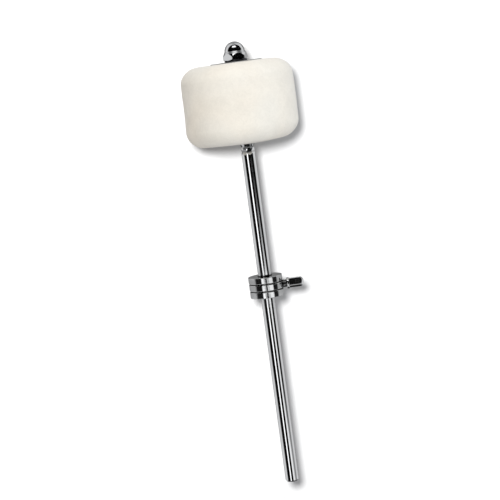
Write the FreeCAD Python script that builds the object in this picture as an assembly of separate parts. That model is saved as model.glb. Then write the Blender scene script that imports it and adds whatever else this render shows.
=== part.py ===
import FreeCAD, Part
import math
import os

# Bass drum beater: a felt head on a chrome rod, with a balance weight clamped part way down the rod.
# Millimetres, +Z up the rod. Origin: centre of the rod's lower end face. +X points along the weight's screw.

# Clearances
RUN_CLEARANCE = 0.05
THREAD_CLEARANCE = 0.05
WASHER_CLEARANCE = 0.2
FELT_CLEARANCE = 0.3

# An edge counts as lying at a height when it is this close to it.
LEVEL_TOLERANCE = 0.01

# Rod
ROD_DIAMETER = 8.0
ROD_END_CHAMFER = 0.8
ROD_BELOW_HEAD = 203.0
ROD_THREAD_PITCH = 1.25
ROD_THREAD_LENGTH = 16.0

# Stop that is pressed into the rod under the head: staggered rows of notches, and fins that bear the head
STOP_LENGTH = 6.4
STOP_ROWS = 2
STOP_SIDES = 8
STOP_NOTCH_DEPTH = 0.6
STOP_FIN_REACH = 0.4
STOP_FIN_WIDTH = 1.0
STOP_TURN = 11.0

# Felt head
FELT_DIAMETER = 65.5
FELT_HEIGHT = 47.6
FELT_BARREL = 0.6
FELT_TOP_CROWN = 0.9
FELT_BOTTOM_CROWN = 2.7
FELT_TOP_ROUND = 9.5
FELT_BOTTOM_ROUND = 9.0

# Washers
SEAT_WASHER_DIAMETER = 24.0
SEAT_WASHER_THICKNESS = 1.5
SEAT_WASHER_SINK = 0.5
TOP_WASHER_DIAMETER = 30.0
TOP_WASHER_THICKNESS = 1.5
TOP_WASHER_RISE = 0.2
WASHER_EDGE_ROUND = 0.3
SPRING_WASHER_DIAMETER = 13.2
SPRING_WASHER_THICKNESS = 1.0
SPRING_WASHER_SPLIT = 1.2
SPRING_WASHER_SLANT = 20.0
SPRING_WASHER_TURN = 215.0

# Cap nut
NUT_SIDES = 6
NUT_WALL = 2.45
NUT_HEX_HEIGHT = 5.0
NUT_EDGE_ROUND = 0.3
NUT_CHAMFER_ANGLE = 30.0
NUT_SHOULDER_ANGLE = 62.0
NUT_DOME_STEP = 0.65
NUT_DOME_HEIGHT = 5.5
NUT_CROWN_WALL = 3.2
NUT_ROD_GAP = 0.6
NUT_TURN = 15.0

# Balance weight
COLLAR_DIAMETER = 20.0
COLLAR_HEIGHT = 12.2
COLLAR_CENTRE = 118.6
COLLAR_RINGS = 3
COLLAR_GROOVE_WIDTH = 0.7
COLLAR_GROOVE_DEPTH = 0.8
COLLAR_EDGE_ROUND = 0.25
COLLAR_BORE_CHAMFER = 0.5

# Key screw, and the pad that swivels on its tip
SCREW_THREAD_DIAMETER = 5.0
SCREW_THREAD_PITCH = 0.8
SCREW_NECK_LENGTH = 2.1
SCREW_FLANGE_DIAMETER = 6.8
SCREW_FLANGE_THICKNESS = 1.6
SCREW_FLANGE_ROUND = 0.5
SCREW_HEAD_SIDES = 4
SCREW_HEAD_ACROSS_FLATS = 5.0
SCREW_HEAD_EDGE_ROUND = 0.6
SCREW_HEAD_LENGTH = 8.4
SCREW_HEAD_CORNER_DIAMETER = 6.8
SCREW_HEAD_DOME_LENGTH = 3.4
SCREW_HEAD_TIP_DIAMETER = 1.4
SCREW_HEAD_TURN = 20.0
PAD_THICKNESS = 1.5
PAD_SIDE_GAP = 0.5
PAD_SPIGOT_DIAMETER = 2.0
PAD_SPIGOT_LENGTH = 1.2
PAD_END_GAP = 0.1

# A thread's groove is this share of its pitch deep.
THREAD_DEPTH_SHARE = 0.54

# Sizes that follow from the ones above
ROD_RADIUS = ROD_DIAMETER / 2
FELT_BOTTOM = ROD_BELOW_HEAD
FELT_TOP = FELT_BOTTOM + FELT_HEIGHT
STOP_TOP = FELT_BOTTOM + SEAT_WASHER_SINK
STOP_BOTTOM = FELT_BOTTOM - STOP_LENGTH
STOP_ROW_HEIGHT = (STOP_TOP - STOP_BOTTOM) / STOP_ROWS
STOP_STAGGER = 180 / STOP_SIDES
SEAT_WASHER_TOP = STOP_TOP + SEAT_WASHER_THICKNESS
TOP_WASHER_TOP = FELT_TOP + TOP_WASHER_RISE
TOP_WASHER_BOTTOM = TOP_WASHER_TOP - TOP_WASHER_THICKNESS
NUT_BOTTOM = TOP_WASHER_TOP + SPRING_WASHER_THICKNESS
NUT_BORE_RADIUS = ROD_RADIUS + THREAD_CLEARANCE
NUT_ACROSS_FLATS = 2 * (NUT_BORE_RADIUS + NUT_WALL)
NUT_BORE_DEPTH = NUT_HEX_HEIGHT + NUT_DOME_HEIGHT - NUT_CROWN_WALL
ROD_TOP = NUT_BOTTOM + NUT_BORE_DEPTH - NUT_ROD_GAP
WASHER_BORE_RADIUS = ROD_RADIUS + WASHER_CLEARANCE
COLLAR_BORE_RADIUS = ROD_RADIUS + RUN_CLEARANCE
COLLAR_RADIUS = COLLAR_DIAMETER / 2
SCREW_HOLE_RADIUS = SCREW_THREAD_DIAMETER / 2 + THREAD_CLEARANCE
PAD_RADIUS = SCREW_HOLE_RADIUS - PAD_SIDE_GAP
SCREW_TIP = COLLAR_BORE_RADIUS + PAD_THICKNESS
SCREW_THREAD_LENGTH = COLLAR_RADIUS + SCREW_NECK_LENGTH - SCREW_TIP

ORIGIN = FreeCAD.Vector(0, 0, 0)
X_AXIS = FreeCAD.Vector(1, 0, 0)
Y_AXIS = FreeCAD.Vector(0, 1, 0)
UP = FreeCAD.Vector(0, 0, 1)


def point(radius, height):
    """A point of an outline in the XZ plane."""
    return FreeCAD.Vector(radius, 0, height)


def line(start, end):
    """A straight edge between two points."""
    return Part.LineSegment(start, end).toShape()


def arc(start, middle, end):
    """A round edge through three points."""
    return Part.Arc(start, middle, end).toShape()


def outline(corners):
    """Closed chain of edges through corners of (radius, height, rounding) in the XZ plane."""
    places = [point(radius, height) for radius, height, rounding in corners]
    edges = []
    ends = []
    for index, (radius, height, rounding) in enumerate(corners):
        corner = places[index]
        if rounding == 0:
            ends.append((corner, corner))
            continue
        back = (places[index - 1] - corner).normalize()
        ahead = (places[(index + 1) % len(places)] - corner).normalize()
        half_angle = back.getAngle(ahead) / 2
        inward = (back + ahead).normalize()
        centre = corner + inward * (rounding / math.sin(half_angle))
        start = corner + back * (rounding / math.tan(half_angle))
        end = corner + ahead * (rounding / math.tan(half_angle))
        edges.append(arc(start, centre - inward * rounding, end))
        ends.append((start, end))
    for index, (start, end) in enumerate(ends):
        edges.append(line(ends[index - 1][1], start))
    return edges


def turned(edges):
    """Solid turned around Z from a closed outline in the XZ plane."""
    wire = Part.Wire(Part.__sortEdges__(edges))
    return Part.Face(wire).revolve(ORIGIN, UP, 360)


def cylinder(radius, bottom, top):
    """Upright cylinder around Z."""
    return Part.makeCylinder(radius, top - bottom, point(0, bottom), UP)


def prism(profile, width):
    """Profile of (radius, height) points in the XZ plane, given an even width across Y."""
    corners = [point(radius, height) for radius, height in profile]
    face = Part.Face(Part.makePolygon(corners + corners[:1]))
    face.translate(Y_AXIS * (-width / 2))
    return face.extrude(Y_AXIS * width)


def polygon_bar(sides, across_flats, length, turn, edge_round):
    """Upright bar with a regular cross-section and rounded long edges, standing on Z = 0."""
    corner_radius = across_flats / 2 / math.cos(math.pi / sides)
    angles = [math.radians(turn + 360 * side / sides) for side in range(sides)]
    corners = [FreeCAD.Vector(math.cos(a), math.sin(a), 0) * corner_radius for a in angles]
    bar = Part.Face(Part.makePolygon(corners + corners[:1])).extrude(UP * length)
    long_edges = [edge for edge in bar.Edges if abs(edge.BoundBox.ZLength - length) < LEVEL_TOLERANCE]
    return bar.makeFillet(edge_round, long_edges)


def around(shape, copies, first_angle):
    """Copies of a shape, evenly spaced around Z."""
    placed = []
    for copy in range(copies):
        turned_copy = shape.copy()
        turned_copy.rotate(ORIGIN, UP, first_angle + 360 * copy / copies)
        placed.append(turned_copy)
    return placed


def threaded_bar(diameter, pitch, length):
    """Upright bar on Z = 0 with a thread's crests and grooves as rings."""
    crest = diameter / 2
    root = crest - THREAD_DEPTH_SHARE * pitch
    corners = [(0, 0, 0), (root, 0, 0)]
    turns = max(1, int(length / pitch))
    for turn in range(turns):
        corners.append((crest, (turn + 0.5) * pitch, 0))
        corners.append((root, (turn + 1) * pitch, 0))
    corners += [(root, length, 0), (0, length, 0)]
    return turned(outline(corners))


def dome_arc(radius, height, base):
    """Round edge from the rim of a shallow or full dome to its top. A negative height hangs down."""
    sphere = (radius**2 + height**2) / (2 * abs(height))
    middle_drop = sphere - math.sqrt(sphere**2 - (radius / 2) ** 2)
    middle = base + height - math.copysign(middle_drop, height)
    return arc(point(radius, base), point(radius / 2, middle), point(0, base + height))


def edges_at(shape, height):
    """The edges of a shape that lie level at a height."""
    level = []
    for edge in shape.Edges:
        box = edge.BoundBox
        if max(abs(box.ZMin - height), abs(box.ZMax - height)) < LEVEL_TOLERANCE:
            level.append(edge)
    return level


def along_x(shape, start):
    """Lay an upright shape along +X, with its foot at X = start, at the height of the weight's middle."""
    shape.rotate(ORIGIN, Y_AXIS, 90)
    shape.translate(FreeCAD.Vector(start, 0, COLLAR_CENTRE))
    return shape


def make_rod():
    """Plain rod with a chamfered foot, the pressed stop and a threaded top."""
    thread_bottom = ROD_TOP - ROD_THREAD_LENGTH
    shank = turned(outline([
        (0, 0, 0),
        (ROD_RADIUS - ROD_END_CHAMFER, 0, 0),
        (ROD_RADIUS, ROD_END_CHAMFER, 0),
        (ROD_RADIUS, thread_bottom, 0),
        (0, thread_bottom, 0),
    ]))
    thread = threaded_bar(ROD_DIAMETER, ROD_THREAD_PITCH, ROD_THREAD_LENGTH)
    thread.translate(UP * thread_bottom)
    root = ROD_RADIUS - STOP_NOTCH_DEPTH
    for row in range(STOP_ROWS):
        middle = STOP_BOTTOM + (row + 0.5) * STOP_ROW_HEIGHT
        notch = prism([
            (root, middle),
            (ROD_RADIUS + STOP_NOTCH_DEPTH, middle - STOP_ROW_HEIGHT),
            (ROD_RADIUS + STOP_NOTCH_DEPTH, middle + STOP_ROW_HEIGHT),
        ], ROD_DIAMETER)
        shank = shank.cut(around(notch, STOP_SIDES, STOP_TURN + row * STOP_STAGGER))
    fin = prism([
        (root, STOP_TOP - STOP_ROW_HEIGHT),
        (ROD_RADIUS + STOP_FIN_REACH, STOP_TOP),
        (root, STOP_TOP),
    ], STOP_FIN_WIDTH)
    shank = shank.fuse(around(fin, STOP_SIDES, STOP_TURN + STOP_ROWS * STOP_STAGGER))
    return shank.fuse(thread).removeSplitter()


def make_felt_head():
    """Pressed-felt cylinder with crowned ends, rounded rims, and the pockets that its washers sit in."""
    widest = FELT_DIAMETER / 2
    rim = widest - FELT_BARREL
    bottom_rim = FELT_BOTTOM + FELT_BOTTOM_CROWN
    top_rim = FELT_TOP - FELT_TOP_CROWN
    side = arc(point(rim, bottom_rim), point(widest, (bottom_rim + top_rim) / 2), point(rim, top_rim))
    felt = turned([
        dome_arc(rim, -FELT_BOTTOM_CROWN, bottom_rim),
        side,
        dome_arc(rim, FELT_TOP_CROWN, top_rim),
        line(point(0, FELT_TOP), point(0, FELT_BOTTOM)),
    ])
    for height, rounding in ((bottom_rim, FELT_BOTTOM_ROUND), (top_rim, FELT_TOP_ROUND)):
        felt = felt.makeFillet(rounding, edges_at(felt, height))
    bore = cylinder(ROD_RADIUS + FELT_CLEARANCE, FELT_BOTTOM, FELT_TOP)
    seat_pocket = cylinder(SEAT_WASHER_DIAMETER / 2 + FELT_CLEARANCE, FELT_BOTTOM, SEAT_WASHER_TOP)
    top_pocket = cylinder(TOP_WASHER_DIAMETER / 2 + FELT_CLEARANCE, TOP_WASHER_BOTTOM, FELT_TOP)
    return felt.cut([bore, seat_pocket, top_pocket])


def make_washer(diameter, bottom, top):
    """Flat washer on the rod, with softly rounded outer edges."""
    return turned(outline([
        (WASHER_BORE_RADIUS, bottom, 0),
        (diameter / 2, bottom, WASHER_EDGE_ROUND),
        (diameter / 2, top, WASHER_EDGE_ROUND),
        (WASHER_BORE_RADIUS, top, 0),
    ]))


def make_spring_washer():
    """Spring washer, pressed flat, with its slanted split."""
    ring = make_washer(SPRING_WASHER_DIAMETER, TOP_WASHER_TOP, NUT_BOTTOM)
    tall = SPRING_WASHER_DIAMETER
    split = Part.makeBox(SPRING_WASHER_DIAMETER, SPRING_WASHER_SPLIT, tall)
    split.translate(FreeCAD.Vector(0, -SPRING_WASHER_SPLIT / 2, -tall / 2))
    split.rotate(ORIGIN, X_AXIS, SPRING_WASHER_SLANT)
    split.translate(UP * (TOP_WASHER_TOP + NUT_BOTTOM) / 2)
    split.rotate(ORIGIN, UP, SPRING_WASHER_TURN)
    return ring.cut(split)


def make_cap_nut():
    """Domed nut: a hexagon with chamfered corners that slopes into a dome, with a blind bore."""
    flat_radius = NUT_ACROSS_FLATS / 2
    corner_radius = flat_radius / math.cos(math.pi / NUT_SIDES)
    dome_radius = flat_radius - NUT_DOME_STEP
    chamfer = (corner_radius - flat_radius) * math.tan(math.radians(NUT_CHAMFER_ANGLE))
    shoulder = (corner_radius - dome_radius) * math.tan(math.radians(NUT_SHOULDER_ANGLE))
    hexagon = polygon_bar(NUT_SIDES, NUT_ACROSS_FLATS, NUT_HEX_HEIGHT, NUT_TURN, NUT_EDGE_ROUND)
    envelope = turned(outline([
        (0, 0, 0),
        (flat_radius, 0, 0),
        (corner_radius, chamfer, 0),
        (corner_radius, NUT_HEX_HEIGHT - shoulder, 0),
        (dome_radius, NUT_HEX_HEIGHT, 0),
        (0, NUT_HEX_HEIGHT, 0),
    ]))
    dome = turned([
        line(point(0, 0), point(dome_radius, 0)),
        line(point(dome_radius, 0), point(dome_radius, NUT_HEX_HEIGHT)),
        dome_arc(dome_radius, NUT_DOME_HEIGHT, NUT_HEX_HEIGHT),
        line(point(0, NUT_HEX_HEIGHT + NUT_DOME_HEIGHT), point(0, 0)),
    ])
    nut = hexagon.common(envelope).fuse(dome)
    nut = nut.cut(cylinder(NUT_BORE_RADIUS, 0, NUT_BORE_DEPTH))
    nut.translate(UP * NUT_BOTTOM)
    return nut


def make_weight_collar():
    """Balance weight: a ring with grooves around it, bored for the rod and drilled across for its screw."""
    bottom = COLLAR_CENTRE - COLLAR_HEIGHT / 2
    top = COLLAR_CENTRE + COLLAR_HEIGHT / 2
    groove_radius = COLLAR_RADIUS - COLLAR_GROOVE_DEPTH
    step = (COLLAR_HEIGHT + COLLAR_GROOVE_WIDTH) / COLLAR_RINGS
    corners = [(COLLAR_BORE_RADIUS + COLLAR_BORE_CHAMFER, bottom, 0)]
    for ring in range(COLLAR_RINGS):
        ring_bottom = bottom + ring * step
        ring_top = ring_bottom + step - COLLAR_GROOVE_WIDTH
        if ring > 0:
            corners.append((groove_radius, ring_bottom, 0))
        corners.append((COLLAR_RADIUS, ring_bottom, COLLAR_EDGE_ROUND))
        corners.append((COLLAR_RADIUS, ring_top, COLLAR_EDGE_ROUND))
        if ring < COLLAR_RINGS - 1:
            corners.append((groove_radius, ring_top, 0))
    corners += [
        (COLLAR_BORE_RADIUS + COLLAR_BORE_CHAMFER, top, 0),
        (COLLAR_BORE_RADIUS, top - COLLAR_BORE_CHAMFER, 0),
        (COLLAR_BORE_RADIUS, bottom + COLLAR_BORE_CHAMFER, 0),
    ]
    screw_hole = along_x(cylinder(SCREW_HOLE_RADIUS, 0, COLLAR_DIAMETER), 0)
    return turned(outline(corners)).cut(screw_hole)


def make_pressure_pad():
    """Pad hollowed to the rod's curve, with the spigot that swivels in the screw's tip."""
    body = cylinder(PAD_RADIUS, 0, SCREW_TIP)
    spigot = cylinder(PAD_SPIGOT_DIAMETER / 2, SCREW_TIP - PAD_THICKNESS / 2, SCREW_TIP + PAD_SPIGOT_LENGTH)
    pad = along_x(body.fuse(spigot), 0)
    rod_hollow = cylinder(COLLAR_BORE_RADIUS, COLLAR_CENTRE - COLLAR_HEIGHT, COLLAR_CENTRE + COLLAR_HEIGHT)
    return pad.cut(rod_hollow)


def make_key_screw():
    """Square-headed screw with a flange, a threaded shank and the socket for its pad."""
    thread = threaded_bar(SCREW_THREAD_DIAMETER, SCREW_THREAD_PITCH, SCREW_THREAD_LENGTH)
    flange_top = SCREW_THREAD_LENGTH + SCREW_FLANGE_THICKNESS
    flange = turned(outline([
        (0, SCREW_THREAD_LENGTH, 0),
        (SCREW_FLANGE_DIAMETER / 2, SCREW_THREAD_LENGTH, SCREW_FLANGE_ROUND),
        (SCREW_FLANGE_DIAMETER / 2, flange_top, SCREW_FLANGE_ROUND),
        (0, flange_top, 0),
    ]))
    corner = SCREW_HEAD_CORNER_DIAMETER / 2
    tip = SCREW_HEAD_TIP_DIAMETER / 2
    shoulder = SCREW_HEAD_LENGTH - SCREW_HEAD_DOME_LENGTH
    bulge = math.sqrt(0.5)
    blank = turned([
        line(point(0, 0), point(corner, 0)),
        line(point(corner, 0), point(corner, shoulder)),
        arc(
            point(corner, shoulder),
            point(tip + (corner - tip) * bulge, shoulder + SCREW_HEAD_DOME_LENGTH * bulge),
            point(tip, SCREW_HEAD_LENGTH),
        ),
        line(point(tip, SCREW_HEAD_LENGTH), point(0, SCREW_HEAD_LENGTH)),
        line(point(0, SCREW_HEAD_LENGTH), point(0, 0)),
    ])
    square = polygon_bar(
        SCREW_HEAD_SIDES,
        SCREW_HEAD_ACROSS_FLATS,
        SCREW_HEAD_LENGTH,
        SCREW_HEAD_TURN,
        SCREW_HEAD_EDGE_ROUND,
    )
    head = blank.common(square)
    head.translate(UP * flange_top)
    socket_radius = PAD_SPIGOT_DIAMETER / 2 + RUN_CLEARANCE
    socket = cylinder(socket_radius, 0, PAD_SPIGOT_LENGTH + PAD_END_GAP)
    screw = thread.fuse([flange, head]).removeSplitter().cut(socket)
    return along_x(screw, SCREW_TIP)


NODES = {
    "rod": make_rod(),
    "felt_head": make_felt_head(),
    "seat_washer": make_washer(SEAT_WASHER_DIAMETER, STOP_TOP, SEAT_WASHER_TOP),
    "top_washer": make_washer(TOP_WASHER_DIAMETER, TOP_WASHER_BOTTOM, TOP_WASHER_TOP),
    "spring_washer": make_spring_washer(),
    "cap_nut": make_cap_nut(),
    "weight_collar": make_weight_collar(),
    "pressure_pad": make_pressure_pad(),
    "key_screw": make_key_screw(),
}

os.makedirs("parts", exist_ok=True)
for name, shape in NODES.items():
    shape.exportStep(f"parts/{name}.step")
    print(f"{name}: {len(shape.Solids)} solid, valid {shape.isValid()}, {shape.Volume:.1f} mm3")
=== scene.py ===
"""Looks of a bass drum beater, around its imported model.

All lengths are in metres. +Z runs up the rod and +X along the weight's screw.
"""
import logging
import math
from collections.abc import Mapping, Sequence
from dataclasses import dataclass
from enum import Enum
from typing import Any, Union

import bpy
import numpy as np
from mathutils import Matrix, Vector, noise


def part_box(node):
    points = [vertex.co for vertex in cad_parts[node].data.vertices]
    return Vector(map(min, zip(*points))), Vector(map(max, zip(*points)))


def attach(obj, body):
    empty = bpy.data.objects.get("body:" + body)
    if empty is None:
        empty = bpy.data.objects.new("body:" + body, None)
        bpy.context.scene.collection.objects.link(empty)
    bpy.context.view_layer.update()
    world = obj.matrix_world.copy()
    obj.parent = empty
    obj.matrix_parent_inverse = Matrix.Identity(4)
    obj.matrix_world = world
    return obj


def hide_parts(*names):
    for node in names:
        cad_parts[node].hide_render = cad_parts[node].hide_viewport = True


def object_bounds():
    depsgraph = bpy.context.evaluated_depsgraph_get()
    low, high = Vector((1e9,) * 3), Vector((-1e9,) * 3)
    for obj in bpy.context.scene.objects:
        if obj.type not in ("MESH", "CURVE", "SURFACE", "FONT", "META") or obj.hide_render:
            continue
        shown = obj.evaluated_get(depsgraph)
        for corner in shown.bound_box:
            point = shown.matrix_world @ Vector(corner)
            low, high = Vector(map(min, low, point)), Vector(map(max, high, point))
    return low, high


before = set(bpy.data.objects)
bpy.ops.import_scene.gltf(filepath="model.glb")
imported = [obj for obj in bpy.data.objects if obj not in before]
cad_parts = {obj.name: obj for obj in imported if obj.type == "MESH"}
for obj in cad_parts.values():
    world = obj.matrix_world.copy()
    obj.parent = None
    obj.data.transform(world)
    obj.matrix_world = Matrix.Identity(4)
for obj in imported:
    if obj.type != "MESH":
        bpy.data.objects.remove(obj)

CAD_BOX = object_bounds()
LOG = logging.getLogger("beater")
DEGREES = math.degrees(1)

# Numbers of a Mix node's sockets when it mixes colours.
MIX_SHARE, MIX_FIRST, MIX_SECOND, MIX_RESULT = 0, 6, 7, 2

# Outline points nearer than this share of the spacing are one point.
MERGE_SHARE = 0.1

Colour = tuple[float, float, float]
Corner = tuple[float, float, float]
Term = Union["Value", float, Sequence[float]]


class Value:
    """A node's output that Python's operators work on."""

    def __init__(self, graph: "Graph", socket: bpy.types.NodeSocket) -> None:
        """Keep the socket and the graph that it belongs to."""
        self.graph = graph
        self.socket = socket

    def maths(self, operation: str, *terms: Term) -> "Value":
        """Add one Math node that works on these terms."""
        return self.graph.add("ShaderNodeMath", {"operation": operation}, dict(enumerate(terms)))

    def beside(self, output: str) -> "Value":
        """Another output of the same node."""
        return Value(self.graph, self.socket.node.outputs[output])

    def __add__(self, other: Term) -> "Value":
        """This value plus another."""
        return self.maths("ADD", self, other)

    def __radd__(self, other: Term) -> "Value":
        """A number plus this value."""
        return self.maths("ADD", other, self)

    def __sub__(self, other: Term) -> "Value":
        """This value less another."""
        return self.maths("SUBTRACT", self, other)

    def __rsub__(self, other: Term) -> "Value":
        """A number less this value."""
        return self.maths("SUBTRACT", other, self)

    def __mul__(self, other: Term) -> "Value":
        """This value times another."""
        return self.maths("MULTIPLY", self, other)

    def __rmul__(self, other: Term) -> "Value":
        """A number times this value."""
        return self.maths("MULTIPLY", other, self)


class Graph:
    """The node tree of a material or of the world, filled in node by node."""

    def __init__(self, owner: bpy.types.ID) -> None:
        """Start an empty tree on its owner."""
        owner.use_nodes = True
        self.tree = owner.node_tree
        self.tree.nodes.clear()

    def add(
        self,
        kind: str,
        settings: Mapping[str, Any] | None = None,
        sockets: Mapping[str | int, Term] | None = None,
        output: str | int = 0,
    ) -> Value:
        """Add a node of any kind.

        Args:
            kind: the node's type.
            settings: its own options, which are set first.
            sockets: values or links for its inputs, by name or number.
            output: the output that is wanted from it.

        Returns:
            That output.
        """
        node = self.tree.nodes.new(kind)
        for name, setting in (settings or {}).items():
            setattr(node, name, setting)
        for name, term in (sockets or {}).items():
            if isinstance(term, Value):
                self.tree.links.new(term.socket, node.inputs[name])
            else:
                node.inputs[name].default_value = term
        return Value(self, node.outputs[output])

    def close(self, shader: Value, output: str) -> None:
        """Link the finished shader to the tree's output node."""
        node = self.tree.nodes.new(output)
        self.tree.links.new(shader.socket, node.inputs["Surface"])

    def mix(self, share: Term, first: Term, second: Term) -> Value:
        """Mix two colours, where a share of 1 is all of the second."""
        sockets = {MIX_SHARE: share, MIX_FIRST: first, MIX_SECOND: second}
        return self.add("ShaderNodeMix", {"data_type": "RGBA"}, sockets, MIX_RESULT)

    def rise(self, value: Term, start: float, end: float) -> Value:
        """Soft step from 0 at start to 1 at end."""
        return self.add(
            "ShaderNodeMapRange",
            {"interpolation_type": "SMOOTHSTEP"},
            {"Value": value, "From Min": start, "From Max": end},
        )

    def step(self, value: Term, edge: float, blur: float) -> Value:
        """Step from 0 to 1 at an edge, blurred to both sides of it."""
        return self.rise(value, edge - blur, edge + blur)

    def axis(self, vector: Value, name: str) -> Value:
        """One axis of a vector."""
        return self.add("ShaderNodeSeparateXYZ", {}, {0: vector}, name)

    def place(self, stretch: Sequence[float] = (1.0, 1.0, 1.0)) -> Value:
        """The piece's own coordinates in metres, stretched along its axes."""
        here = self.add("ShaderNodeTexCoord", output="Object")
        return self.add("ShaderNodeVectorMath", {"operation": "MULTIPLY"}, {0: here, 1: stretch})

    def bump(self, height: Value, strength: float, depth: float) -> Value:
        """Normal that a height pattern of some depth in metres gives."""
        return self.add("ShaderNodeBump", {}, {"Height": height, "Strength": strength, "Distance": depth})


def opaque(colour: Colour) -> tuple[float, float, float, float]:
    """A colour with full alpha."""
    return (*colour, 1.0)


class Lay(Enum):
    """Which way the fine marks on a metal surface run: the stretch that draws them out."""

    DRAWN = (1.0, 1.0, 0.02)
    TURNED = (0.02, 0.02, 1.0)
    TURNED_ON_X = (1.0, 0.02, 0.02)
    POLISHED = (1.0, 1.0, 1.0)


@dataclass(frozen=True)
class Blots:
    """A cloudy pattern with blots of about a size, and the two levels between which it is spread out."""

    size: float
    detail: float
    swirl: float = 0.0
    start: float = 0.35
    full: float = 0.65

    def cloud(self, graph: Graph, place: Value) -> Value:
        """The pattern as it is."""
        sockets = {"Vector": place, "Scale": 1 / self.size, "Detail": self.detail, "Distortion": self.swirl}
        return graph.add("ShaderNodeTexNoise", {}, sockets)

    def spread(self, graph: Graph, cloud: Value) -> Value:
        """The pattern from 0 to 1 between its two levels."""
        return graph.rise(cloud, self.start, self.full)

    def mask(self, graph: Graph, place: Value) -> Value:
        """The pattern, spread out."""
        return self.spread(graph, self.cloud(graph, place))


@dataclass(frozen=True)
class Finish:
    """What every finish has: a name, and a way to make its material."""

    name: str

    def paint(self, graph: Graph) -> Value:
        """Make the finish's shader in an empty graph."""
        raise NotImplementedError

    def material(self) -> bpy.types.Material:
        """The finished material."""
        made = bpy.data.materials.new(self.name)
        graph = Graph(made)
        graph.close(self.paint(graph), "ShaderNodeOutputMaterial")
        return made


@dataclass(frozen=True)
class Metal(Finish):
    """Bare or plated metal with marks from its making, finger smudges and painted shade in its corners."""

    tint: Colour
    shade: Colour
    lay: Lay
    roughness: float
    marks: Blots = Blots(size=0.00025, detail=3.0, start=0.55, full=0.75)
    mark_shade: float = 0.25
    mark_depth: float = 0.000002
    mark_relief: float = 0.2
    mark_roughness: float = 0.05
    smudges: Blots = Blots(size=0.012, detail=4.0, swirl=0.6, start=0.42, full=0.7)
    smudge_shade: float = 0.5
    smudge_roughness: float = 0.04
    # Painted shade: the colour, reach and strength of the darkening put where corners and crevices block the
    # light.
    painted_shade_colour: Colour = (0.05, 0.048, 0.045)
    painted_shade_samples: int = 8
    painted_shade_reach: float = 0.0006
    painted_shade_share: float = 0.6
    painted_shade_start: float = 0.3
    painted_shade_full: float = 0.9

    def matt_parts(self, graph: Graph) -> Term:
        """Roughness of parts that are left matt, above that of the rest."""
        return 0.0

    def paint(self, graph: Graph) -> Value:
        """Metal whose gloss and tint vary with its marks and smudges."""
        marks = self.marks.cloud(graph, graph.place(self.lay.value))
        lines = self.marks.spread(graph, marks)
        smudges = self.smudges.mask(graph, graph.place())
        dulled = smudges * self.smudge_shade + lines * self.mark_shade
        tone = graph.mix(dulled, opaque(self.tint), opaque(self.shade))
        # Painted shade: ambient occlusion darkens the colour in corners, crevices and under neighbouring
        # parts, where shade falls.
        reach = {"Distance": self.painted_shade_reach}
        open_sky = graph.add("ShaderNodeAmbientOcclusion", {"samples": self.painted_shade_samples}, reach, "AO")
        corner = graph.rise(1 - open_sky, self.painted_shade_start, self.painted_shade_full) * self.painted_shade_share
        roughness = self.roughness + lines * self.mark_roughness + smudges * self.smudge_roughness
        return graph.add("ShaderNodeBsdfPrincipled", {}, {
            "Base Color": graph.mix(corner, tone, opaque(self.painted_shade_colour)),
            "Metallic": 1.0,
            "Roughness": roughness + self.matt_parts(graph),
            "Normal": graph.bump(marks, self.mark_relief, self.mark_depth),
        })


@dataclass(frozen=True)
class ShoulderedMetal(Metal):
    """Polished metal with a matt turned ring: what slopes upward between two heights."""

    ring_foot: float = 0.0
    ring_top: float = 0.0
    ring_roughness: float = 0.27
    ring_blur: float = 0.0001
    slope_start: float = 0.175
    slope_full: float = 0.35

    def matt_parts(self, graph: Graph) -> Term:
        """The ring's roughness, and none elsewhere."""
        facing = graph.axis(graph.add("ShaderNodeTexCoord", output="Normal"), "Z")
        height = graph.axis(graph.place(), "Z")
        sloping = graph.rise(facing, self.slope_start, self.slope_full)
        above = graph.step(height, self.ring_foot, self.ring_blur)
        below = 1 - graph.step(height, self.ring_top, self.ring_blur)
        return sloping * above * below * self.ring_roughness


@dataclass(frozen=True)
class WoolFelt(Finish):
    """Pressed wool felt: cloudy off-white, with matted fibres and a soft sheen."""

    pale: Colour
    dull: Colour
    warm: Colour
    cool: Colour
    clouds: Blots = Blots(size=0.014, detail=3.0, swirl=0.8, start=0.3, full=0.7)
    drift: Blots = Blots(size=0.0308, detail=1.0)
    fibres: Blots = Blots(size=0.0011, detail=4.0, swirl=3.5)
    tufts: Blots = Blots(size=0.0032, detail=2.0, swirl=1.5)
    specks: Blots = Blots(size=0.0011 / 3, detail=2.0, swirl=1.5)
    cloud_share: float = 0.4
    tuft_share: float = 0.3
    fibre_share: float = 0.3
    hue_share: float = 0.25
    roughness: float = 0.88
    fibre_roughness: float = 0.12
    gloss: float = 0.15
    sheen: float = 0.25
    sheen_roughness: float = 0.5
    speck_share: float = 0.4
    fibre_relief: float = 0.55
    fibre_depth: float = 0.00022

    def paint(self, graph: Graph) -> Value:
        """Felt with clouds of tone, fibres that catch the light, and a slight hue drift."""
        place = graph.place()
        clouds = self.clouds.mask(graph, place)
        drift = self.drift.mask(graph, place)
        fibres = self.fibres.cloud(graph, place)
        tufts = self.tufts.mask(graph, place)
        specks = self.specks.cloud(graph, place)
        light = clouds * self.cloud_share + tufts * self.tuft_share
        light = light + self.fibres.spread(graph, fibres) * self.fibre_share
        hue = graph.mix(drift, opaque(self.warm), opaque(self.cool))
        tone = graph.mix(light, opaque(self.dull), opaque(self.pale))
        relief = fibres + specks * self.speck_share
        return graph.add("ShaderNodeBsdfPrincipled", {}, {
            "Base Color": graph.mix(self.hue_share, tone, hue),
            "Roughness": self.roughness + fibres * self.fibre_roughness,
            "Specular IOR Level": self.gloss,
            "Sheen Weight": self.sheen,
            "Sheen Roughness": self.sheen_roughness,
            "Normal": graph.bump(relief, self.fibre_relief, self.fibre_depth),
        })


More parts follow.
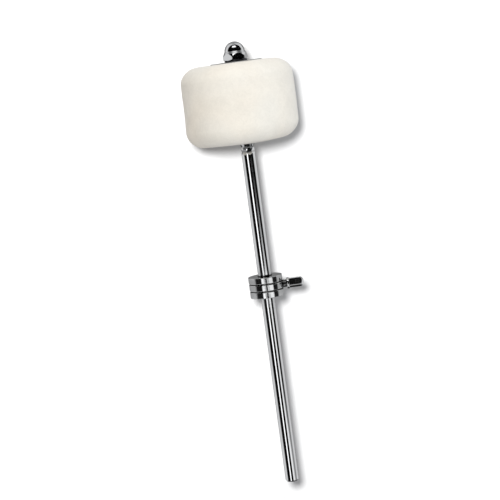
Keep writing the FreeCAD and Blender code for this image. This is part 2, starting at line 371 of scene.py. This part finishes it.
@dataclass(frozen=True)
class StudioPaper(Finish):
    """Plain pale paper of the stage, with a little light of its own, whose back may let the view through."""

    tone: float
    glow: float
    one_sided: bool

    def paint(self, graph: Graph) -> Value:
        """Matt paper, clear on its back if it is one-sided."""
        matt = graph.add("ShaderNodeBsdfDiffuse", {}, {"Color": opaque((self.tone,) * 3)})
        lit = graph.add("ShaderNodeEmission", {}, {"Strength": self.glow})
        front = graph.add("ShaderNodeAddShader", {}, {0: matt, 1: lit})
        if not self.one_sided:
            return front
        clear = graph.add("ShaderNodeBsdfTransparent")
        behind = graph.add("ShaderNodeNewGeometry", output="Backfacing")
        return graph.add("ShaderNodeMixShader", {}, {0: behind, 1: front, 2: clear})


CHROME = {"tint": (0.8, 0.81, 0.82), "shade": (0.7, 0.71, 0.73)}
# Stronger painted shade in corners and grooves, for the ring and the screw.
PAINTED_CORNER_SHADE = {"painted_shade_reach": 0.0012, "painted_shade_share": 0.95, "painted_shade_start": 0.12, "painted_shade_full": 0.42}
# The rod's painted shade is the strongest: it darkens the valleys of its stop and the band under the felt.
ROD_CHROME = Metal(
    "chrome_drawn", **CHROME, lay=Lay.DRAWN, roughness=0.05,
    painted_shade_reach=0.0012, painted_shade_share=0.97, painted_shade_start=0.05, painted_shade_full=0.2,
)
RING_CHROME = Metal("chrome_turned", **CHROME, **PAINTED_CORNER_SHADE, lay=Lay.TURNED, roughness=0.06)
NUT_CHROME = ShoulderedMetal(
    "chrome_polished", **CHROME, lay=Lay.POLISHED, roughness=0.05, ring_foot=0.2553, ring_top=0.2568,
)
SCREW_CHROME = Metal("chrome_screw", **CHROME, **PAINTED_CORNER_SHADE, lay=Lay.TURNED_ON_X, roughness=0.08)
ZINC = Metal(
    "zinc_plate", tint=(0.62, 0.63, 0.62), shade=(0.45, 0.46, 0.47), lay=Lay.TURNED, roughness=0.28,
    mark_roughness=0.15, smudge_roughness=0.12,
)
SPRING_STEEL = Metal(
    "spring_steel", tint=(0.13, 0.13, 0.14), shade=(0.06, 0.06, 0.065), lay=Lay.TURNED, roughness=0.35,
    mark_roughness=0.2, smudge_roughness=0.1,
)
BRASS = Metal(
    "turned_brass", tint=(0.78, 0.58, 0.26), shade=(0.6, 0.42, 0.18), lay=Lay.TURNED_ON_X, roughness=0.22,
    mark_roughness=0.12, smudge_roughness=0.1,
)
WOOL = WoolFelt(
    "wool_felt", pale=(0.838, 0.797, 0.712), dull=(0.72, 0.685, 0.61),
    warm=(0.80, 0.735, 0.63), cool=(0.765, 0.765, 0.72),
)
FLOOR_PAPER = StudioPaper("floor_paper", tone=0.9, glow=0.14, one_sided=False)
BACK_PAPER = StudioPaper("back_paper", tone=0.5, glow=0.0, one_sided=True)


def rounded_outline(corners: Sequence[Corner], spacing: float) -> np.ndarray:
    """Closed outline through corners, rounded and with evenly spaced points.

    Args:
        corners: (radius, height, rounding) of each corner.
        spacing: distance between neighbouring points.

    Returns:
        One (radius, height) row a point.
    """
    places = [Vector(corner[:2]) for corner in corners]
    stretches = []
    for index, corner in enumerate(places):
        rounding = corners[index][2]
        back = (places[index - 1] - corner).normalized()
        ahead = (places[(index + 1) % len(places)] - corner).normalized()
        half = back.angle(ahead) / 2
        centre = corner + (back + ahead).normalized() * (rounding / math.sin(half))
        start = corner + back * (rounding / math.tan(half))
        turn = (math.pi - 2 * half) * math.copysign(1, back.x * ahead.y - back.y * ahead.x)
        steps = max(1, round(rounding * abs(turn) / spacing))
        arm = start - centre
        turns = [Matrix.Rotation(-turn * step / steps, 2) for step in range(steps + 1)]
        stretches.append([centre + rotation @ arm for rotation in turns])
    points = []
    for index, stretch in enumerate(stretches):
        last = stretches[index - 1][-1]
        steps = max(1, round((stretch[0] - last).length / spacing))
        points += [last.lerp(stretch[0], step / steps) for step in range(1, steps)]
        is_round = (stretch[0] - stretch[-1]).length > spacing * MERGE_SHARE
        points += stretch if is_round else stretch[:1]
    return np.array(points)


def turned_mesh(name: str, outline: np.ndarray, segments: int) -> bpy.types.Object:
    """Closed ring of faces turned around Z.

    Args:
        name: the piece's name.
        outline: closed (radius, height) outline, anticlockwise.
        segments: how many steps make the full turn.

    Returns:
        The new object, in the scene.
    """
    count = len(outline)
    angles = np.linspace(0, 2 * math.pi, segments, endpoint=False)
    around = np.stack([np.cos(angles), np.sin(angles)], 1)
    rings = outline[None, :, :1] * around[:, None, :]
    heights = np.broadcast_to(outline[None, :, 1:], (segments, count, 1))
    points = np.concatenate([rings, heights], 2).reshape(-1, 3)
    column, row = np.meshgrid(np.arange(segments), np.arange(count), indexing="ij")
    beside, above = (column + 1) % segments, (row + 1) % count
    faces = np.stack([
        column * count + row, beside * count + row, beside * count + above, column * count + above
    ], 2).reshape(-1, 4)
    mesh = bpy.data.meshes.new(name)
    mesh.from_pydata(points.tolist(), [], faces.tolist())
    mesh.shade_smooth()
    piece = bpy.data.objects.new(name, mesh)
    bpy.context.scene.collection.objects.link(piece)
    return piece


def dress_node(node: str, finish: Finish) -> None:
    """Give a CAD node its finish."""
    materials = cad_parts[node].data.materials
    materials.clear()
    materials.append(finish.material())
    LOG.info("dressed %s with %s", node, finish.name)


@dataclass
class FeltHead:
    """The felt head, which stands for its CAD solid: a soft cylinder with rounded rims."""

    finish: Finish = WOOL
    top_round: float = 0.0095
    bottom_round: float = 0.009
    lip_round: float = 0.0008
    barrel: float = 0.0006
    top_crown: float = 0.0009
    bottom_crown: float = 0.0027
    bore: float = 0.0043
    seat_washer_sink: float = 0.0005
    top_washer_rise: float = 0.0002
    clearance: float = 0.0003
    lip_fade: float = 0.004
    spacing: float = 0.0008
    segments: int = 256
    lumps: tuple[tuple[float, float], ...] = ((0.026, 0.0002), (0.008, 0.0001), (0.0022, 0.00005))
    off_centre: float = -0.0009
    full_corner: tuple[float, float, float] = (-0.031, 0.0, 0.2065)
    full_corner_size: float = 0.011
    full_corner_height: float = 0.0013

    def outline(self) -> np.ndarray:
        """Closed outline of the felt, with its bore and washer pockets, crowned ends and barrelled side."""
        seat_low, seat_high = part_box("seat_washer")
        top_low, top_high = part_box("top_washer")
        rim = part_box("felt_head")[1].x - self.barrel
        bottom, top = seat_low.z - self.seat_washer_sink, top_high.z - self.top_washer_rise
        seat_pocket = seat_high.x + self.clearance
        top_pocket = top_high.x + self.clearance
        radius, height = rounded_outline([
            (self.bore, top_low.z, 0.0),
            (self.bore, seat_high.z, 0.0),
            (seat_pocket, seat_high.z, 0.0),
            (seat_pocket, bottom, self.lip_round),
            (rim, bottom, self.bottom_round),
            (rim, top, self.top_round),
            (top_pocket, top, self.lip_round),
            (top_pocket, top_low.z, 0.0),
        ], self.spacing).T
        share = (height - bottom) / (top - bottom)
        outward = (radius / rim) ** 2
        crown = outward * (self.bottom_crown * (1 - share) - self.top_crown * share)
        barrel = outward * self.barrel * (1 - (2 * share - 1) ** 2)
        return np.stack([radius + barrel, height + crown], 1)

    def roughen(self, mesh: bpy.types.Mesh) -> None:
        """Make the felt's skin lumpy and set it a little off its bore, but not where its washers sit."""
        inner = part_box("top_washer")[1].x + self.clearance + self.lip_round
        places = [vertex.co.copy() for vertex in mesh.vertices]
        normals = [vertex.normal.copy() for vertex in mesh.vertices]
        corner, aside = Vector(self.full_corner), Vector((self.off_centre, 0, 0))
        moved = []
        for place, normal in zip(places, normals):
            free = min(1.0, max(0.0, (place.xy.length - inner) / self.lip_fade))
            push = sum(noise.noise(place / size) * height for size, height in self.lumps)
            near = ((place - corner).length / self.full_corner_size) ** 2
            push += self.full_corner_height * math.exp(-near)
            moved.extend(place + (normal * push + aside) * free)
        mesh.vertices.foreach_set("co", moved)
        mesh.update()

    def build(self) -> None:
        """Make the felt head and let it ride on its body."""
        piece = turned_mesh("felt_head_wool", self.outline(), self.segments)
        self.roughen(piece.data)
        piece.data.materials.append(self.finish.material())
        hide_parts("felt_head")
        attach(piece, "felt_head")
        LOG.info("built %s with %d faces", piece.name, len(piece.data.polygons))


@dataclass
class HeadFittings:
    """What clamps the felt on the rod: two washers, the spring washer and the cap nut."""

    washers: Finish = ZINC
    spring: Finish = SPRING_STEEL
    nut: Finish = NUT_CHROME

    def dress(self) -> None:
        """Give each fitting its metal."""
        dress_node("seat_washer", self.washers)
        dress_node("top_washer", self.washers)
        dress_node("spring_washer", self.spring)
        dress_node("cap_nut", self.nut)


@dataclass
class BeaterRod:
    """The chrome rod."""

    finish: Finish = ROD_CHROME

    def dress(self) -> None:
        """Give the rod its chrome."""
        dress_node("rod", self.finish)


@dataclass
class BalanceWeight:
    """The weight that slides on the rod, with its screw and pad."""

    ring: Finish = RING_CHROME
    screw: Finish = SCREW_CHROME
    pad: Finish = BRASS

    def dress(self) -> None:
        """Give the ring, screw and pad their metals."""
        dress_node("weight_collar", self.ring)
        dress_node("key_screw", self.screw)
        dress_node("pressure_pad", self.pad)


@dataclass(frozen=True)
class Card:
    """A patch of the studio that chrome mirrors, by the directions that it covers in degrees."""

    what: str
    left: float
    right: float
    low: float
    high: float
    brightness: float
    soft: float = 2.0
    fade: float = 2.0

    def mask(self, graph: Graph, azimuth: Value, elevation: Value) -> Value:
        """1 in the card's directions and 0 elsewhere, with soft sides and ends that fade."""
        from_left = graph.step(azimuth, self.left, self.soft)
        to_right = 1 - graph.step(azimuth, self.right, self.soft)
        from_low = graph.step(elevation, self.low, self.fade)
        to_high = 1 - graph.step(elevation, self.high, self.fade)
        return from_left * to_right * from_low * to_high


@dataclass(frozen=True)
class Lamp:
    """A soft round lamp near the camera, turned from its view to the left and up in degrees."""

    name: str
    power: float
    size: float
    left: float
    up: float
    paper_only: bool


@dataclass
class Studio:
    """Floor, paper behind the beater, soft light, mirrored cards and the camera of the photograph."""

    floor_size: float = 8.0
    floor_drop: float = 0.02
    back_size: float = 0.5
    back_gap: float = 0.0015
    wall_grey: float = 0.9
    paper_white: float = 1.25
    dome_level: float = 0.52
    dome_sideways: float = 0.36
    dome_sides: float = 0.27
    dome_above: float = 0.22
    dome_poles: float = 0.8
    left_tint: Colour = (0.84, 0.8, 0.765)
    right_tint: Colour = (0.765, 0.8, 0.85)
    tint_reach: float = 0.8
    plain_tint: Colour = (0.8, 0.8, 0.8)
    lamp_distance: float = 0.9
    lamps: tuple[Lamp, ...] = (
        Lamp("key", power=4.15, size=0.144, left=4.43, up=6.1, paper_only=False),
        Lamp("back_paper_lamp", power=11.7, size=0.144, left=4.43, up=6.1, paper_only=True),
    )
    lens: float = 110.2
    sensor: float = 36.0
    camera_distance: float = 0.8974
    camera_elevation: float = 7.2
    camera_roll: float = -7.75
    aim: tuple[float, float, float] = (-0.00661, 0.0, 0.14092)
    # Each card lies over those before it: its left, right, low and high edges, brightness, soft and fade.
    cards: tuple[Card, ...] = (
        Card("dim right rear", 140, 230, -100, 100, 0.4, 25, 25),
        Card("dim left rear", -230, -140, -100, 100, 0.4, 25, 25),
        Card("dusk over the right rear", 128, 230, 2, 26, 0.25),
        Card("dusk over the left rear", -230, -128, 2, 26, 0.25),
        Card("dark slot in the right rear", 162, 174, -100, 2, 0.05),
        Card("dark slot in the left rear", -174, -162, -100, 2, 0.05),
        Card("dark below the right rear", 115, 250, -100, -36, 0.02, 10, 5),
        Card("dark below the left rear", -250, -115, -100, -36, 0.02, 10, 5),
        Card("dark front", -80, 81, -100, 14, 0.002, 6),
        Card("dark front above", -86, 90, 10, 86, 0.002),
        Card("light below the front", -75, 75, -75, -19, 0.9, 4, 1),
        Card("dark strip below, left", -42, -12, -70, -28, 0.01, 4, 4),
        Card("dark strip below, right", 12, 42, -70, -28, 0.01, 4, 4),
        Card("grey to the right, low", 50, 88, -100, -13.5, 0.35, 6, 1.5),
        Card("light strip to the right, low", 44, 56, -100, -13.5, 0.9, 3, 1.5),
        Card("white strip ahead", -28, -13, -18, 9, 2.1),
        Card("white strip to the right", 22, 44, -18, -7, 1.35, 3, 3),
        Card("dim around the weight", -250, 250, -9.1, -8.1, 0.42, 2, 0.1),
        Card("dark before the weight", -72, 83, -9.1, -8.1, 0.006, 5, 0.1),
        Card("white strip ahead of the weight", -28, -2, -9.1, -8.1, 1.1, 3, 0.1),
        Card("white strip beside the weight", 8, 48, -9.1, -8.1, 1.3, 2.5, 0.1),
        Card("white sheet above", -34, 34, 49, 70, 1.8),
    )

    def paper(self, name: str, finish: Finish, size: float, matrix: Matrix) -> bpy.types.Object:
        """Put a square sheet of the stage in place, left out of mirrors and bounced light.

        Args:
            name: the sheet's name.
            finish: its paper.
            size: length of its sides.
            matrix: where it lies.

        Returns:
            The sheet.
        """
        half = size / 2
        corners = [(-half, -half, 0), (half, -half, 0), (half, half, 0), (-half, half, 0)]
        mesh = bpy.data.meshes.new(name)
        mesh.from_pydata(corners, [], [(0, 1, 2, 3)])
        mesh.transform(matrix)
        mesh.materials.append(finish.material())
        made = bpy.data.objects.new(name, mesh)
        bpy.context.scene.collection.objects.link(made)
        made.visible_glossy = False
        made.visible_diffuse = False
        made.visible_shadow = False
        return made

    def papers(self) -> bpy.types.Object:
        """Lay the floor below the hanging beater, and stand the back paper behind the head and return it."""
        low, high = CAD_BOX
        floor = Matrix.Translation((0, 0, low.z - self.floor_drop))
        self.paper("floor", FLOOR_PAPER, self.floor_size, floor)
        behind = Matrix.Translation((0, high.y + self.back_gap, (low.z + high.z) / 2))
        upright = Matrix.Rotation(math.pi / 2, 4, "X")
        return self.paper("back_paper", BACK_PAPER, self.back_size, behind @ upright)

    def world(self) -> None:
        """Soft dome for matt surfaces, cards for mirrors, and plain white for the view."""
        made = bpy.data.worlds.new("studio")
        bpy.context.scene.world = made
        graph = Graph(made)
        across = graph.axis(graph.add("ShaderNodeTexCoord", output="Generated"), "X")
        away, up = across.beside("Y"), across.beside("Z")
        dome = self.dome_level + across * (self.dome_sideways + across * self.dome_sides)
        dome = dome + up * (self.dome_above + up * self.dome_poles)
        azimuth = across.maths("ARCTAN2", across, -1 * away) * DEGREES
        elevation = up.maths("ARCSINE", up) * DEGREES
        mirrored = self.wall_grey
        for card in self.cards:
            mask = card.mask(graph, azimuth, elevation)
            mirrored = mask * card.brightness + (1 - mask) * mirrored
            LOG.debug("hung the card: %s", card.what)
        path = graph.add("ShaderNodeLightPath", output="Is Glossy Ray")
        view = path.beside("Is Camera Ray")
        light = path * mirrored + (1 - path) * dome
        light = view * self.paper_white + (1 - view) * light
        side = graph.rise(across, -self.tint_reach, self.tint_reach)
        tint = graph.mix(side, opaque(self.left_tint), opaque(self.right_tint))
        tint = graph.mix(path + view, tint, opaque(self.plain_tint))
        sky = graph.add("ShaderNodeBackground", {}, {"Color": tint, "Strength": light})
        graph.close(sky, "ShaderNodeOutputWorld")

    def turned_view(self, left: float, up: float) -> Matrix:
        """Direction of the camera's view from the aim, turned to its left and up in degrees."""
        elevation = Matrix.Rotation(math.radians(90 - self.camera_elevation - up), 4, "X")
        return Matrix.Rotation(math.radians(-left), 4, "Z") @ elevation

    def lights(self, back_paper: bpy.types.Object) -> None:
        """Set up the lamps, which mirrors don't show. Some of them light only the back paper."""
        paper_only = bpy.data.collections.new("paper_only")
        paper_only.objects.link(back_paper)
        for lamp in self.lamps:
            data = bpy.data.lights.new(lamp.name, "AREA")
            data.shape = "DISK"
            data.size = lamp.size
            data.energy = lamp.power
            made = bpy.data.objects.new(lamp.name, data)
            stand = Matrix.Translation(self.aim) @ self.turned_view(lamp.left, lamp.up)
            made.matrix_world = stand @ Matrix.Translation((0, 0, self.lamp_distance))
            made.visible_glossy = False
            if lamp.paper_only:
                made.light_linking.receiver_collection = paper_only
            bpy.context.scene.collection.objects.link(made)

    def camera(self) -> None:
        """Camera at the photograph's angle."""
        data = bpy.data.cameras.new("camera")
        data.lens = self.lens
        data.sensor_width = self.sensor
        made = bpy.data.objects.new("camera", data)
        roll = Matrix.Rotation(math.radians(self.camera_roll), 4, "Z")
        back = Matrix.Translation((0, 0, self.camera_distance))
        made.matrix_world = Matrix.Translation(self.aim) @ self.turned_view(0, 0) @ back @ roll
        bpy.context.scene.collection.objects.link(made)
        bpy.context.scene.camera = made

    def build(self) -> None:
        """Set up the whole studio."""
        bpy.context.scene.view_settings.view_transform = "Standard"
        back_paper = self.papers()
        self.world()
        self.lights(back_paper)
        self.camera()
        LOG.info("set up the studio")


def main() -> None:
    """Build the beater's looks and the studio around it."""
    logging.basicConfig(level=logging.INFO, format="%(name)s: %(message)s")
    BeaterRod().dress()
    FeltHead().build()
    HeadFittings().dress()
    BalanceWeight().dress()
    Studio().build()


if __name__ == "__main__":
    main()
